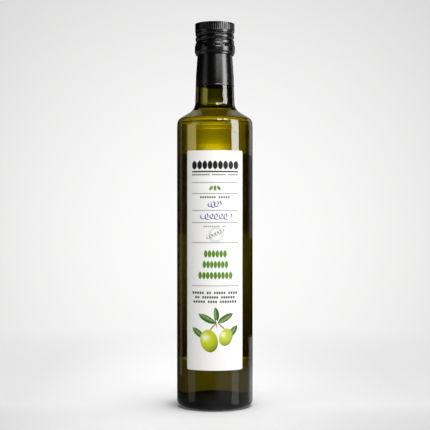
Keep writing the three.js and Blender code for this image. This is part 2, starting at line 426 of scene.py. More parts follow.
# %% Depth of knurl, thread and slits
KNURL_DEPTH = 0.15
PITCH, GROOVE_HALF, GROOVE_DEPTH = 4.1, 1.45, 0.85
THREAD_START, THREAD_ENDS = 289.7, (288.0, 295.2)
SLITS, SLIT_HALF, SLIT_DEPTH = 12, 1 / 3, 0.5


def angle_from_front(co):
    return math.atan2(co.x, -co.y)


def knurl_depth(co):
    height = co.z / MM
    fade = min(1.0, max(0.0, (height - KNURL_FOOT) / 0.4), max(0.0, (302.6 - height) / 0.5))
    return KNURL_DEPTH / 2 * fade * (1 - math.cos(KNURLS * angle_from_front(co)))


def thread_depth(co):
    height = co.z / MM
    if not THREAD_ZONE[0] - 0.01 < height < THREAD_ZONE[1] + 0.01:
        return 0.0
    axial = height - THREAD_START - PITCH * angle_from_front(co) / (2 * math.pi)
    offset = abs(axial - round(axial / PITCH) * PITCH)
    groove_height = height - axial + round(axial / PITCH) * PITCH
    from_ends = min(groove_height - THREAD_ENDS[0], THREAD_ENDS[1] - groove_height)
    run_out = min(1.0, max(0.0, 0.5 + from_ends))
    if offset >= GROOVE_HALF:
        return 0.0
    return GROOVE_DEPTH * run_out * 0.5 * (1 + math.cos(math.pi * offset / GROOVE_HALF))


def slit_depth(co):
    share = (angle_from_front(co) * SLITS / (2 * math.pi) + 1 / 12) % 1
    inside = min(1.0, max(0.0, (SLIT_HALF - abs(share - SLIT_HALF)) * 12))
    return SLIT_DEPTH * inside * max(0.0, 1 - abs(co.z / MM - SLIT_HEIGHT) / 0.4)


# %% Pressing the cap
start_fresh()
bpy.context.view_layer.objects.active = cap
cap.select_set(True)
for name, depth_at in (("knurl", knurl_depth), ("thread", thread_depth), ("slits", slit_depth)):
    group = cap.vertex_groups.new(name=name)
    for vertex in cap.data.vertices:
        on_outside = math.hypot(vertex.co.x, vertex.co.y) > (CAP_BORE + 0.5) * MM
        depth = depth_at(vertex.co) if on_outside else 0.0
        if depth > 0:
            group.add([vertex.index], min(depth, 1.0), "REPLACE")
    press = cap.modifiers.new(name, "DISPLACE")
    press.vertex_group = name
    press.mid_level = 0.0
    press.strength = -1.0 * MM
    bpy.ops.object.modifier_apply(modifier=name)
bpy.ops.object.shade_smooth_by_angle(angle=math.radians(40))
steady_normals(cap)
print("cap pressed to", [round(v / MM, 2) for v in cap.dimensions])

# %% [markdown]
# Lacquered aluminium shows the lacquer, not the metal: a black film with a satin gloss. Its index is about
# 1.5, and rolling stretches it, so the gloss varies a little from place to place.

# %% Cap material
cap_material, tree = new_material("lacquered_aluminium_black")
patches = surface_noise(tree, 2.5 * MM)
lacquer = add_node(
    tree, "ShaderNodeBsdfPrincipled", inputs={"IOR": 1.5},
    links={"Base Color": ramp(tree, patches.outputs[0], [(0.3, "#040403"), (0.75, "#070605")]).outputs[0],
           "Roughness": spread(tree, patches.outputs[0], 0.2, 0.26).outputs[0]})
finish_surface(tree, lacquer)
hand_over(cap, cap_material, "lacquered_aluminium", "screw_cap")

# %% [markdown]
# ## The neck sleeve
# Under the cap a black film is shrunk on the neck, so it follows the taper and its lower edge is a thin
# bright line. It is a closed ring profile, spun like the rest, with its lower edge rounded.

# %% Sleeve
sleeve_profile = [
    (14.87, 253.35, 0.12),
    (15.3, 253.35, 0.12),
    (15.3, 253.65),
    (15.15, 254.3, 0.4),
    (15.05, 260.5),
    (13.85, 278.0),
    (13.83, 278.55),
    (13.5, 278.55),
    (13.5, 278.0),
    (14.7, 260.5),
]
sleeve = draw_profile("shrunk_neck_sleeve", sleeve_profile, close=True)
spin_round(sleeve)
steady_normals(sleeve)

# %% [markdown]
# Such a sleeve is usually a black PVC film, about as glossy as the cap's lacquer. Shrinking leaves its gloss
# a little uneven, with a grain of about half a millimetre.

# %% Sleeve material
sleeve_material, tree = new_material("shrink_film_black")
grain = surface_noise(tree, 0.6 * MM)
film = add_node(
    tree, "ShaderNodeBsdfPrincipled", inputs={"IOR": 1.5},
    links={"Base Color": ramp(tree, grain.outputs[0], [(0.3, "#040403"), (0.75, "#070605")]).outputs[0],
           "Roughness": spread(tree, grain.outputs[0], 0.2, 0.27).outputs[0]})
finish_surface(tree, film)
hand_over(sleeve, sleeve_material, "sleeve_film", "neck_sleeve")

# %% [markdown]
# ## The paper labels
# A label is cut flat with round corners and then laid on the glass, and it is modelled that way: a flat plate
# as wide as the label looks from the front, sliced into narrow upright strips so that it can bend,
# shrink-wrapped on the glass, lifted by the thickness of the glue and made solid. Sweeping an edge round the
# axis would also give the sheet, but not its corners. The back label is a guess, made like the front one.

# %% Flat work
FLAT_Y = 31.5   # mm in front of the axis, just clear of the glass


def flat_plate(width, height, x, z):
    """A flat upright plate in edit mode, centred on x, z, with all sizes in mm."""
    start_fresh()
    bpy.ops.mesh.primitive_plane_add(size=1, location=(x * MM, -FLAT_Y * MM, z * MM),
                                     rotation=(math.radians(90), 0, 0))
    bpy.ops.object.mode_set(mode="EDIT")
    bpy.ops.transform.resize(value=(width * MM, 1, height * MM))
    return bpy.context.object


def apply_place(mark):
    """Put the piece's place and turn into its mesh, so that its object sits at the origin."""
    bpy.ops.object.mode_set(mode="OBJECT")
    bpy.ops.object.transform_apply(location=True, rotation=True, scale=True)
    return mark


def bar(width, height, x, z, rounding=0.0):
    """A flat bar or plate, with its corners rounded where a rounding is given."""
    plate = flat_plate(width, height, x, z)
    if rounding:
        bpy.ops.mesh.bevel(affect="VERTICES", offset=rounding * MM, segments=5, profile=0.5)
    return apply_place(plate)


# %% Wrapping flat work on the glass
def wrap(name, marks, target, slices, back=False):
    """Join flat marks, slice them into strips slices mm wide and lay them on the target's front or back."""
    start_fresh()
    for mark in marks:
        mark.select_set(True)
    bpy.context.view_layer.objects.active = marks[0]
    if len(marks) > 1:
        bpy.ops.object.join()
    piece = bpy.context.object
    piece.name = name
    reach = max(abs(v.co.x) for v in piece.data.vertices) / MM
    bpy.ops.object.mode_set(mode="EDIT")
    for k in range(-int(reach / slices), int(reach / slices) + 1):
        bpy.ops.mesh.select_all(action="SELECT")
        bpy.ops.mesh.bisect(plane_co=(k * slices * MM, 0, 0), plane_no=(1, 0, 0))
    bpy.ops.mesh.select_mode(type="FACE")
    bpy.ops.mesh.select_all(action="DESELECT")
    mesh = bmesh.from_edit_mesh(piece.data)
    for face in mesh.faces:
        face.select = face.normal.y > 0
    bmesh.update_edit_mesh(piece.data)
    bpy.ops.mesh.flip_normals()
    bpy.ops.mesh.select_mode(type="VERT")
    bpy.ops.mesh.select_all(action="SELECT")
    bpy.ops.mesh.quads_convert_to_tris()
    bpy.ops.object.mode_set(mode="OBJECT")
    if back:
        piece.rotation_euler.z = math.pi
        bpy.ops.object.transform_apply(location=True, rotation=True, scale=True)
    lay = piece.modifiers.new("lay", "SHRINKWRAP")
    lay.target = target
    lay.wrap_method = "PROJECT"
    lay.use_project_y = True
    lay.use_positive_direction = True
    lay.use_negative_direction = True
    lay.cull_face = "BACK"
    bpy.ops.object.modifier_apply(modifier="lay")
    return piece


def make_solid(piece, thickness, offset):
    """Give the laid sheet its thickness in mm, outwards at offset 1 and inwards at -1."""
    film = piece.modifiers.new("film", "SOLIDIFY")
    film.thickness = thickness * MM
    film.offset = offset
    bpy.ops.object.modifier_apply(modifier="film")
    bpy.ops.object.shade_smooth_by_angle(angle=math.radians(30))
    radii = [math.hypot(v.co.x, v.co.y) / MM for v in piece.data.vertices]
    side = "back" if piece.data.vertices[0].co.y > 0 else "front"
    print(piece.name, "lies on the", side, "from radius", round(min(radii), 3), "to", round(max(radii), 3),
          "with", len(piece.data.polygons), "faces")


# %% Label sheets
PAPER_RADIUS = 30.22
HALF_ANGLE = math.radians(44.7)   # from the front to the label's side edge


def paper_sheet(name, low, high, back):
    """A label from height low to high in mm, on the front or the back of the glass."""
    width = 2 * PAPER_RADIUS * math.sin(HALF_ANGLE)
    sheet = wrap(name, [bar(width, high - low, 0, (low + high) / 2, 1.1)], bottle, 0.75, back)
    bpy.ops.object.mode_set(mode="EDIT")
    bpy.ops.mesh.select_all(action="SELECT")
    bpy.ops.transform.shrink_fatten(value=(PAPER_RADIUS - BODY) * MM)
    bpy.ops.object.mode_set(mode="OBJECT")
    make_solid(sheet, 0.1, -1)
    return sheet


LABEL_TOP, FRONT_FOOT, BACK_FOOT = 201.2, 31.8, 36.3
front_sheet = paper_sheet("front_label_sheet", FRONT_FOOT, LABEL_TOP, False)
back_sheet = paper_sheet("back_label_sheet", BACK_FOOT, LABEL_TOP, True)

# %% [markdown]
# Label paper is coated: very white, matt, with fibres finer than the render can show. The fibres are drawn
# about half a millimetre long so that they just break up the white.

# %% Paper material
paper_material, tree = new_material("coated_label_paper")
fibres = surface_noise(tree, 0.5 * MM, detail=4.0)
tooth = add_node(tree, "ShaderNodeBump", inputs={"Strength": 0.25, "Distance": 0.02 * MM},
                 links={"Height": fibres.outputs[0]})
paper_surface = add_node(
    tree, "ShaderNodeBsdfPrincipled", inputs={"IOR": 1.45},
    links={"Base Color": ramp(tree, fibres.outputs[0], [(0.2, "#efeeec"), (0.8, "#f8f7f5")]).outputs[0],
           "Roughness": spread(tree, fibres.outputs[0], 0.55, 0.7).outputs[0],
           "Normal": tooth.outputs[0]})
finish_surface(tree, paper_surface)
hand_over(front_sheet, paper_material, "label_paper", "front_label")
hand_over(back_sheet, paper_material, "label_paper", "back_label")

# %% [markdown]
# ## The print
# Ink lies on the paper as a film a few hundredths of a millimetre thick. Each mark is drawn flat in front of
# the bottle, as it looks from there. Then all marks of one ink are joined, sliced into upright strips so
# that they can bend, shrink-wrapped on the paper and given their thickness.
# The print is only fields of colour and plain shapes: rows of small dots in groups, rows of pointed leaves,
# fine rules between them, and a sprig of olives that fills the foot of the label.

# %% Drawing marks
def repeat(mark, count, step):
    """Repeat a mark along the line with an array."""
    if count > 1:
        row = mark.modifiers.new("row", "ARRAY")
        row.count = count
        row.use_relative_offset = False
        row.use_constant_offset = True
        row.constant_offset_displace = (step * MM, 0, 0)
        bpy.ops.object.modifier_apply(modifier="row")
    return mark


def dotted_line(z, height, groups, half_width, thickness=0.62):
    """A row of dots in groups of so many, spread over the row's width."""
    places = sum(groups) + len(groups) - 1
    step = 2 * half_width / places
    marks = []
    x = -half_width + step / 2
    for count in groups:
        dot = bar(step * thickness, height, x, z, min(step * thickness, height) * 0.35)
        marks.append(repeat(dot, count, step))
        x += step * (count + 1)
    return marks


def leaf(length, width, x, z, turn=0.0):
    """A pointed leaf standing on its tip, then turned clockwise by so many degrees."""
    start_fresh()
    place = (x * MM, -FLAT_Y * MM, z * MM)
    bpy.ops.mesh.primitive_circle_add(vertices=28, radius=length / 2 * MM, fill_type="NGON",
                                      location=place, rotation=(math.radians(90), 0, 0))
    mark = bpy.context.object
    bpy.ops.object.mode_set(mode="EDIT")
    bpy.ops.transform.resize(value=(width / length, 1, 0.86))
    tips = sorted(v.co.y for v in bmesh.from_edit_mesh(mark.data).verts)
    for tip, pull in ((tips[0], -0.07), (tips[-1], 0.07)):
        pick_vertices(mark, lambda co: abs(co.y - tip) < 1e-7)
        bpy.ops.transform.translate(value=(0, 0, pull * length * MM))
    bpy.ops.mesh.select_all(action="SELECT")
    if turn:
        bpy.ops.transform.rotate(value=math.radians(turn), orient_axis="Y", center_override=place)
    return apply_place(mark)


def print_on(name, marks, sheet, material, layer=0):
    """Wrap the marks on the sheet as a film of ink, a little thicker for a layer that lies on others."""
    ink = wrap(name, marks, sheet, 1.5, back=sheet is back_sheet)
    make_solid(ink, 0.03 + 0.012 * layer, 0.8)
    hand_over(ink, material, "label_paper")


# %% [markdown]
# Offset printing ink is a thin semi-matt film that sinks a little into the paper, so its colour is never
# quite even. A fine noise moves each ink between two close shades.


# %% Inks
def printing_ink(name, dark, light):
    ink, tree = new_material(name)
    mottle = surface_noise(tree, 0.9 * MM, detail=3.0)
    surface = add_node(
        tree, "ShaderNodeBsdfPrincipled", inputs={"IOR": 1.4},
        links={"Base Color": ramp(tree, mottle.outputs[0], [(0.3, dark), (0.7, light)]).outputs[0],
               "Roughness": spread(tree, mottle.outputs[0], 0.6, 0.72).outputs[0]})
    finish_surface(tree, surface)
    return ink


black_ink = printing_ink("offset_ink_black", "#040404", "#0b0a0a")
grey_ink = printing_ink("offset_ink_warm_grey", "#7d7976", "#918d89")
pencil_ink = printing_ink("offset_ink_pencil_grey", "#2c2b2a", "#464544")
light_grey_ink = printing_ink("offset_ink_light_grey", "#a3a3a4", "#b5b5b6")
green_ink = printing_ink("offset_ink_leaf_green", "#4f7d00", "#679600")
blue_ink = printing_ink("offset_ink_pen_blue", "#26277f", "#3d3f93")

# %% Front print: rules and dotted lines
black_marks = [bar(35.6, 1.05, 0.3, 184.8, 0.25)]
black_marks += dotted_line(182.5, 1.3, [9, 7, 5], 17.8)
black_marks += dotted_line(165.1, 1.5, [7, 5], 11.6)
for z, groups, half_width in ((91.5, [5, 2, 5, 4], 17.4), (88.1, [2, 7, 6], 15.4), (84.7, [5, 4, 7], 16.7)):
    black_marks += dotted_line(z, 1.9, groups, half_width, 0.66)
grey_marks = [bar(35.6, 0.5, 0.3, z) for z in (176.4, 167.9, 154.9, 145.6, 130.1, 96.9)]
grey_marks += dotted_line(142.6, 1.1, [8, 2], 8.8)

# %% Front print: rows of leaves
for k in range(9):
    black_marks.append(leaf(7.3, 3.7, -15.7 + 4.0 * k, 189.85))
green_marks = []
for count, z, half_width in ((6, 121.5, 8.9), (7, 113.3, 9.9), (9, 104.9, 13.2)):
    step = 2 * half_width / count
    for k in range(count):
        green_marks.append(leaf(6.2, step * 0.92, 0.4 - half_width + step * (k + 0.5), z))
green_marks += [leaf(4.6, 2.0, 0.1 + dx, 172.1, turn) for dx, turn in ((-3.0, -35), (0.0, 0), (3.0, 35))]

print_on("print_black", black_marks, front_sheet, black_ink)
print_on("print_green", green_marks, front_sheet, green_ink)

# %% [markdown]
# Two rows look as if drawn with a pen. The line runs in loops, as when one tries out a nib: a vertex is
# extruded step by step round the loops, and the whole line is then extruded once, aslant, which makes it
# broad on the way down and thin on the way up.


# %% Pen lines
def pen_loops(half_width, x, z, height, loops, line, rise=0.0):
    """A looping pen line centred on x, z, rising by rise mm over its length."""
    start_fresh()
    bpy.ops.mesh.primitive_plane_add(size=MM)
    mark = bpy.context.object
    bpy.ops.object.mode_set(mode="EDIT")
    bpy.ops.mesh.merge(type="CENTER")
    steps = 26 * loops
    path = []
    for k in range(steps + 1):
        turn = 2 * math.pi * loops * k / steps
        across = (half_width - 0.42 * height) * (2 * k / steps - 1) - 0.42 * height * math.sin(turn)
        up = height / 2 * math.cos(turn) * (1.0 if (k * loops // steps) % 2 else 0.72)
        path.append((x + across + 0.25 * up, z + up + rise * (k / steps - 0.5)))
    bpy.ops.transform.translate(value=(path[0][0] * MM, -FLAT_Y * MM, path[0][1] * MM))
    for (x0, z0), (x1, z1) in zip(path, path[1:]):
        bpy.ops.mesh.extrude_vertices_move(
            TRANSFORM_OT_translate={"value": ((x1 - x0) * MM, 0, (z1 - z0) * MM)})
    bpy.ops.mesh.select_all(action="SELECT")
    bpy.ops.mesh.extrude_edges_move(TRANSFORM_OT_translate={"value": (line * 0.75 * MM, 0, line * 0.45 * MM)})
    return apply_place(mark)


blue_marks = [pen_loops(5.6, -0.6, 159.3, 4.8, 3, 0.95), pen_loops(12.8, 0.4, 149.9, 4.6, 6, 0.95)]
print_on("print_pen_blue", blue_marks, front_sheet, blue_ink)
pencil_marks = [pen_loops(7.2, 0.0, 136.4, 3.6, 5, 0.5, rise=5.0)]


# %% Seal
def ring(radius, width, x, z):
    """A flat ring: a circle of edges, extruded and drawn inwards."""
    start_fresh()
    place = (x * MM, -FLAT_Y * MM, z * MM)
    bpy.ops.mesh.primitive_circle_add(vertices=48, radius=radius * MM, fill_type="NOTHING",
                                      location=place, rotation=(math.radians(90), 0, 0))
    mark = bpy.context.object
    bpy.ops.object.mode_set(mode="EDIT")
    bpy.ops.mesh.extrude_edges_move()
    inner = (radius - width) / radius
    bpy.ops.transform.resize(value=(inner, inner, inner))
    return apply_place(mark)


seal_marks = [ring(5.6, 0.32, 0.9, 136.2), ring(4.6, 0.25, 0.9, 136.2)]
print_on("print_seal", seal_marks, front_sheet, light_grey_ink)
print_on("print_grey", grey_marks, front_sheet, grey_ink, layer=1)
print_on("print_pencil", pencil_marks, front_sheet, pencil_ink, layer=2)

# %% [markdown]
# ## The olive sprig
# The picture at the foot of the label is a printed one, so it is flat: ellipses and pointed leaves, each in
# two inks along its middle rib. The olives get their roundness from a colour ramp, pale where light would
# fall and deep green at the far rim, as an illustrator shades them.


# %% Olive inks
def olive_ink(name, x, z, size):
    """Shades an olive centred on x, z by the distance from a light spot, in units of its size."""
    ink, tree = new_material(name)
    place = add_node(tree, "ShaderNodeTexCoord")
    centred = add_node(tree, "ShaderNodeMapping",
                       inputs={"Location": (-(x - 0.22 * size) / size, 0, -(z + 0.2 * size) / size),
                               "Scale": (1 / (size * MM), 0, 1 / (size * MM))},
                       links={"Vector": place.outputs["Object"]})
    away = add_node(tree, "ShaderNodeVectorMath", settings={"operation": "LENGTH"},
                    links={"Vector": centred.outputs[0]})
    mottle = surface_noise(tree, 1.4 * MM)
    uneven = add_node(tree, "ShaderNodeMath", settings={"operation": "MULTIPLY_ADD"},
                      inputs={1: 0.08, 2: -0.04}, links={0: mottle.outputs[0]})
    shade = add_node(tree, "ShaderNodeMath", settings={"operation": "ADD"},
                     links={0: away.outputs["Value"], 1: uneven.outputs[0]})
    body = ramp(tree, shade.outputs[0], [(0.0, "#f0f2da"), (0.16, "#dfe5a0"), (0.3, "#c6d021"),
                                         (0.6, "#b0bc04"), (0.8, "#8a990f"), (1.0, "#55640c")])
    surface = add_node(tree, "ShaderNodeBsdfPrincipled", inputs={"IOR": 1.48, "Roughness": 0.48},
                       links={"Base Color": body.outputs[0]})
    finish_surface(tree, surface)
    return ink


def olive(length, width, x, z, turn):
    """A flat oval, turned clockwise by so many degrees."""
    start_fresh()
    place = (x * MM, -FLAT_Y * MM, z * MM)
    bpy.ops.mesh.primitive_circle_add(vertices=48, radius=length / 2 * MM, fill_type="NGON",
                                      location=place, rotation=(math.radians(90), 0, 0))
    mark = bpy.context.object
    bpy.ops.object.mode_set(mode="EDIT")
    bpy.ops.transform.resize(value=(width / length, 1, 1))
    bpy.ops.transform.rotate(value=math.radians(turn), orient_axis="Y", center_override=place)
    return apply_place(mark)


# %% Sprig
deep_leaf_ink = printing_ink("offset_ink_deep_green", "#2c5216", "#3f6a22")
mid_leaf_ink = printing_ink("offset_ink_mid_green", "#5f8a35", "#86ad5c")
twig_ink = printing_ink("offset_ink_twig_brown", "#6d4a28", "#8d6a3c")

sprig_leaves = [(15.5, 4.8, -6.0, 71.5, 62), (14.5, 4.6, 8.0, 72.0, -58), (13.0, 4.4, -12.6, 60.5, 48),
                (14.0, 4.6, 13.2, 61.0, -38), (11.0, 4.0, 1.2, 75.2, 8)]
deep_marks = [leaf(*shape) for shape in sprig_leaves]
mid_marks = []
for length, width, x, z, turn in sprig_leaves:
    across = width * 0.21
    mid_marks.append(leaf(length * 0.9, width * 0.42, x - across * math.cos(math.radians(turn)),
                          z + across * math.sin(math.radians(turn)), turn))
print_on("print_sprig_deep_leaves", deep_marks, front_sheet, deep_leaf_ink, layer=1)
print_on("print_sprig_leaf_light", mid_marks, front_sheet, mid_leaf_ink, layer=2)
twig_marks = [leaf(12.0, 1.0, 0.4, 70.0, 12), leaf(9.0, 0.9, -1.6, 65.5, -40), leaf(8.0, 0.9, 5.0, 66.0, 48)]
print_on("print_sprig_twig", twig_marks, front_sheet, twig_ink, layer=3)
for name, length, width, x, z, turn in (("print_sprig_olive_left", 17.5, 13.4, -4.4, 54.6, 14),
                                        ("print_sprig_olive_right", 13.5, 10.2, 8.4, 57.4, -16)):
    print_on(name, [olive(length, width, x, z, turn)], front_sheet,
             olive_ink(name + "_ink", x, z, 0.72 * length), layer=4 if x < 0 else 3)

# %% [markdown]
# The back can't be seen in the photograph. Its print is made like the front one and says nothing: two blocks
# of dotted lines between rules, a row of leaves on top and three leaves in the middle.

# %% Back print
back_black = [bar(38.4, 1.15, 0, 190.0, 0.3), bar(38.4, 0.5, 0, 120.0), bar(38.4, 0.5, 0, 60.0)]
for k in range(9):
    back_black.append(leaf(5.0, 2.4, -16.8 + 4.2 * k, 195.0))
for k, groups in enumerate(([6, 3, 8, 5], [4, 9, 2, 6], [7, 5, 3, 7], [3, 6, 8, 4], [8, 2, 6, 5], [5, 7, 4])):
    back_black += dotted_line(184.0 - 4.2 * k, 1.5, groups, 18.4)
    back_black += dotted_line(114.0 - 4.2 * k, 1.3, groups[::-1], 18.4)
print_on("print_back_black", back_black, back_sheet, black_ink)
back_green = [leaf(12.0, 4.4, dx, 143.0 + dz, turn) for dx, dz, turn in
              ((-9.0, 0, -50), (0.0, 3.5, 0), (9.0, 0, 50))]
print_on("print_back_green", back_green, back_sheet, green_ink)

# %% [markdown]
# ## The studio
# A pale table that runs into a pale wall, a large soft light on the right, a weaker one on the left and soft
# lights from above. Clear glass shows nothing but its surroundings, so the room is lit by kind of ray: what
# the camera sees directly, what shines through the bottle, what the bottle mirrors, and what lights matt
# surfaces. All of it depends on a direction in the room or on a place on the table, never on the camera.
# A photographer does the same with cards and cloths that light one edge of the glass and nothing else.
# Three helpers draw a curve of brightness, do arithmetic, and choose between two finishes by kind of ray.


# %% Curves of light
def curve(tree, value, points):
    """A curve through (input, output) points, with outputs from 0 to 1."""
    low, high = points[0][0], points[-1][0]
    place = add_node(tree, "ShaderNodeMapRange", inputs={"From Min": low, "From Max": high},
                     links={"Value": value})
    node = add_node(tree, "ShaderNodeValToRGB", links={"Fac": place.outputs[0]})
    elements = node.color_ramp.elements
    for element, (_, level) in zip(elements, (points[0], points[-1])):
        element.color = (level, level, level, 1)
    for position, level in points[1:-1]:
        elements.new((position - low) / (high - low)).color = (level, level, level, 1)
    return node.outputs[0]


def combine(tree, operation, first, second):
    """Arithmetic of two sockets or numbers."""
    node = add_node(tree, "ShaderNodeMath", settings={"operation": operation})
    for socket, value in zip(node.inputs, (first, second)):
        if isinstance(value, (int, float)):
            socket.default_value = value
        else:
            tree.links.new(value, socket)
    return node.outputs[0]


def choose(tree, fac, first, second):
    """The first shader where fac is 0 and the second where it is 1."""
    node = add_node(tree, "ShaderNodeMixShader", links={"Fac": fac})
    tree.links.new(first.outputs[0], node.inputs[1])
    tree.links.new(second.outputs[0], node.inputs[2])
    return node


# %% [markdown]
# ## The table
# The table is a wide disc of matt white board. What the camera sees of it is painted a little darker at both
# sides and towards its front edge, as on a real table that is lit from behind, and darkest in the narrow
# shade on which the bottle stands. The lights are too soft to draw that shade sharply enough, so it is a
# painted shade, a tint round a point just left of the bottle's axis and behind it, away from the larger
# light.
# Rays that bounce on to other things meet a greyer board, or the foot of the bottle would be lit too much
# from below.

# %% Table top
start_fresh()
bpy.ops.mesh.primitive_circle_add(vertices=96, radius=8.0, fill_type="NGON", location=(0, 0, 0))
table = bpy.context.object
table.name = "table"
bpy.ops.object.mode_set(mode="EDIT")
bpy.ops.mesh.inset(thickness=7.4)
bpy.ops.object.mode_set(mode="OBJECT")
print("table:", [round(v, 2) for v in table.dimensions], "m")

# %% Table tints: painted shade
table_material, tree = new_material("white_studio_table")
board = surface_noise(tree, 0.8)
place = add_node(tree, "ShaderNodeTexCoord").outputs["Object"]
rays = add_node(tree, "ShaderNodeLightPath")
across, along = add_node(tree, "ShaderNodeSeparateXYZ", links={0: place}).outputs[:2]
# Painted shade: darker towards both sides and the front edge, and a painted contact shadow round
# SHADE_CENTRE.
to_sides = curve(tree, across, [(-0.165, 0.78), (-0.1, 0.92), (-0.055, 0.98), (-0.03, 0.97),
                                (0.0, 0.93), (0.04, 0.93), (0.1, 0.82), (0.165, 0.745)])
to_front = curve(tree, along, [(-0.1, 0.84), (-0.045, 0.895), (0.0, 1.0), (0.2, 0.97)])
SHADE_CENTRE = (-4 * MM, 6 * MM, 0)
from_shade = add_node(tree, "ShaderNodeVectorMath", settings={"operation": "DISTANCE"},
                      inputs={1: SHADE_CENTRE}, links={0: place}).outputs["Value"]
painted_contact_shadow = curve(tree, from_shade, [(0.028, 0.66), (0.0305, 0.75), (0.033, 0.85), (0.036, 0.92),
                                   (0.04, 0.97), (0.046, 1.0)])
painted_shade = combine(tree, "MULTIPLY", combine(tree, "MULTIPLY", to_sides, to_front), painted_contact_shadow)

# %% Table paint
paint = ramp(tree, board.outputs[0], [(0.3, "#fcfcfc"), (0.7, "#fefefe")])
seen = add_node(tree, "ShaderNodeVectorMath", settings={"operation": "SCALE"},
                links={0: paint.outputs[0], "Scale": painted_shade})
bounced = ramp(tree, board.outputs[0], [(0.3, "#8a8a8a"), (0.7, "#8e8e8e")])
table_colour = add_node(tree, "ShaderNodeMix", settings={"data_type": "RGBA"},
                        links={0: rays.outputs["Is Camera Ray"], 6: bounced.outputs[0], 7: seen.outputs[0]})
painted = add_node(
    tree, "ShaderNodeBsdfPrincipled", inputs={"Roughness": 0.9, "Specular IOR Level": 0.0},
    links={"Base Color": table_colour.outputs[2]})

# %% [markdown]
# A ray that comes out of the back of the bottle and meets the table sees a glow instead of the board. It is
# weak close to the bottle, which stands in its own shade there, and grows with the distance. It is strongest
# straight behind, with one more patch on each side of that, which lights the oil near the edges of the body.
# For the camera the board melts away between 12 and 60 cm from the bottle, so that the table runs into the
# wall without an edge.

# %% Table glow
distance = add_node(tree, "ShaderNodeVectorMath", settings={"operation": "LENGTH"},
                    links={0: place}).outputs["Value"]
heading = add_node(tree, "ShaderNodeVectorMath", settings={"operation": "NORMALIZE"}, links={0: place})
heading_y = add_node(tree, "ShaderNodeSeparateXYZ", links={0: heading.outputs[0]}).outputs["Y"]
glow_out = curve(tree, distance, [(0.1, 0.1), (0.25, 0.12), (0.36, 0.23), (0.48, 0.3), (0.8, 0.48),
                                  (1.35, 0.73), (2.7, 1.0)])
glow_around = curve(tree, heading_y, [(-1.0, 0.6), (0.1, 0.6), (0.5, 0.5), (0.85, 0.7), (1.0, 1.0)])
beside_reach = curve(tree, distance, [(0.28, 0.0), (0.31, 1.0), (0.45, 1.0), (0.55, 0.0)])
beside_around = curve(tree, heading_y, [(0.78, 0.0), (0.83, 0.6), (0.9, 0.6), (0.95, 0.0)])
behind = combine(tree, "ADD", combine(tree, "MULTIPLY", glow_out, glow_around),
                 combine(tree, "MULTIPLY", beside_reach, beside_around))
TABLE_GLOW = 2.6
shining = add_node(tree, "ShaderNodeEmission",
                   links={"Strength": combine(tree, "MULTIPLY", behind, TABLE_GLOW)})

# %% Table finish
melting = combine(tree, "MULTIPLY", curve(tree, distance, [(0.12, 0.0), (0.36, 0.5), (0.6, 1.0)]),
                  rays.outputs["Is Camera Ray"])
surface = choose(tree, melting, painted, add_node(tree, "ShaderNodeBsdfTransparent"))
surface = choose(tree, rays.outputs["Is Transmission Ray"], surface, shining)
finish_surface(tree, surface)
table.data.materials.append(table_material)
table.visible_glossy = False
print("table finish:", len(tree.nodes), "nodes")

# %% [markdown]
# ## The room
# The world stands for the walls. Its direction is a vector of length 1, so to_x, to_y and to_z say how far a
# ray heads to the right, to the back and up. The wall that the camera sees is brightest straight behind the
# bottle and falls off with the square of the distance from there, as the spot of a lamp on a wall does.

# %% World
world = bpy.data.worlds.new("studio")
bpy.context.scene.world = world
world.use_nodes = True
world.cycles.sampling_method = "NONE"
tree = world.node_tree
tree.nodes.clear()
rays = add_node(tree, "ShaderNodeLightPath")
direction = add_node(tree, "ShaderNodeTexCoord").outputs["Generated"]
to_x, to_y, to_z = add_node(tree, "ShaderNodeSeparateXYZ", links={0: direction}).outputs


def light(strength, scale=1.0, colour=(1, 1, 1, 1)):
    """A background of so much light, where strength is a socket."""
    return add_node(tree, "ShaderNodeBackground", inputs={"Color": colour},
                    links={"Strength": combine(tree, "MULTIPLY", strength, scale)})


# %% Wall that the camera sees
BRIGHTEST, FALL, DIMMEST = 0.985, 4.8, 0.68
offset = add_node(tree, "ShaderNodeVectorMath", settings={"operation": "SUBTRACT"},
                  inputs={1: (0, 1, -0.02)}, links={0: direction})
away = add_node(tree, "ShaderNodeVectorMath", settings={"operation": "LENGTH"},
                links={0: offset.outputs[0]}).outputs["Value"]
drop = combine(tree, "ADD", combine(tree, "MULTIPLY", combine(tree, "POWER", away, 2), FALL), 1)
wall = light(combine(tree, "MAXIMUM", combine(tree, "DIVIDE", BRIGHTEST, drop), DIMMEST),
             colour=(1, 0.995, 0.993, 1))

# %% [markdown]
# A full bottle is a strong lens: it turns the room round from left to right, and each part of it shows a
# narrow piece of what stands behind. Straight behind, the light is full. To both sides it falls off, which
# draws the dark edges of the glass, and it rises again further out. With height it fades fast, because the
# shoulder and the neck are dark in the photograph.

# %% Light that shines through
# Levels by height, and by the cosine of the angle from straight behind the bottle.
HEIGHT_LEVELS = [(0.0, 0.95), (0.05, 0.75), (0.0715, 0.62), (0.077, 0.6), (0.083, 0.9), (0.092, 0.5),
                 (0.105, 0.07), (0.2, 0.07), (0.6, 0.2)]
THROUGH_AROUND = [(-1.0, 0.5), (0.1, 0.5), (0.35, 0.14), (0.74, 0.12), (0.88, 0.28), (0.95, 0.5),
                  (0.985, 0.82), (1.0, 1.0)]
through = combine(tree, "MULTIPLY", curve(tree, to_z, HEIGHT_LEVELS), curve(tree, to_y, THROUGH_AROUND))
through = combine(tree, "MULTIPLY", through, curve(tree, to_x, [(-0.35, 0.8), (0.1, 1.0)]))

# %% [markdown]
# Three bright cloths hang behind the bottle. Two low ones, a strong one on the right and a weak one on the
# left, put the upright streaks of gold into the body beside the label. A small one higher up lights the foot
# of the neck. A low patch right behind the bottle gives the shoulder its golden band above the label.

